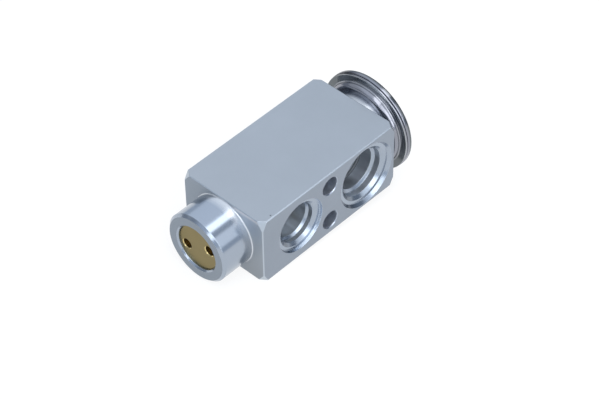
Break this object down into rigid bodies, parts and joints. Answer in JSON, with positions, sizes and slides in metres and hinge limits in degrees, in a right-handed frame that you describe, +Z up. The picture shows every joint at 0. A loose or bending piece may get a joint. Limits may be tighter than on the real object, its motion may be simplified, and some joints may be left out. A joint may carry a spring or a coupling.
{
  "type": "thermostatic expansion valve",
  "caption": "Block-type expansion valve: a sprung ball, pushed open by a diaphragm head, meters refrigerant through a drilled aluminium block.",
  "frame": {"origin": "middle of the block, on the valve axis, halfway between the two mounting holes", "axes": "+X along the valve axis towards the power head, -Y out of the front port face, +Z up, across the plain faces"},
  "size_m": [0.0834, 0.0358, 0.0358],
  "materials": {
    "block_aluminium": "satin machined extrusion",
    "brass": "dull turned brass",
    "stainless": "drawn and polished stainless sheet",
    "hard_steel": "ground steel",
    "spring_steel": "drawn wire and strip",
    "plated_steel": "zinc plated, turned",
    "shaft_aluminium": "turned",
    "seal_rubber": "moulded",
    "white_plastic": "skived"
  },
  "bodies": {
    "block": {"valve_block": "block_aluminium", "seat_ring": "hard_steel", "rod_seal": "seal_rubber", "rod_seal_backup_ring": "white_plastic", "rod_seal_retainer": "spring_steel", "head_seal": "seal_rubber", "head_neck": "plated_steel", "lower_cover": "stainless", "diaphragm": "stainless", "upper_cover": "stainless", "charge_plug": "plated_steel"},
    "valve_train": {"push_rod": "hard_steel", "sensing_shaft": "shaft_aluminium", "diaphragm_stopper": "shaft_aluminium", "valve_ball": "hard_steel", "ball_carrier": "brass", "vibration_damper": "spring_steel"},
    "screw_carriage": {"adjusting_screw_seal": "seal_rubber", "closing_spring": "spring_steel"},
    "adjusting_screw": {"adjusting_screw": "brass"}
  },
  "joints": [
    {"name": "valve_stroke", "type": "slide", "parent": "block", "child": "valve_train", "axis": [-1, 0, 0], "range_m": [0, 0.0008], "stiffness_N_per_m": 6000, "deforming": ["closing_spring"]},
    {"name": "screw_advance", "type": "slide", "parent": "block", "child": "screw_carriage", "axis": [1, 0, 0], "range_m": [-0.001, 0.001], "deforming": ["closing_spring"]},
    {"name": "screw_turn", "type": "hinge", "parent": "screw_carriage", "child": "adjusting_screw", "pos_m": [-0.035, 0, 0], "axis": [1, 0, 0], "range_deg": [-361, 361]}
  ],
  "couplings": [
    {"joint": "screw_turn", "follows": "screw_advance", "rad_per_m": 6283.2}
  ]
}
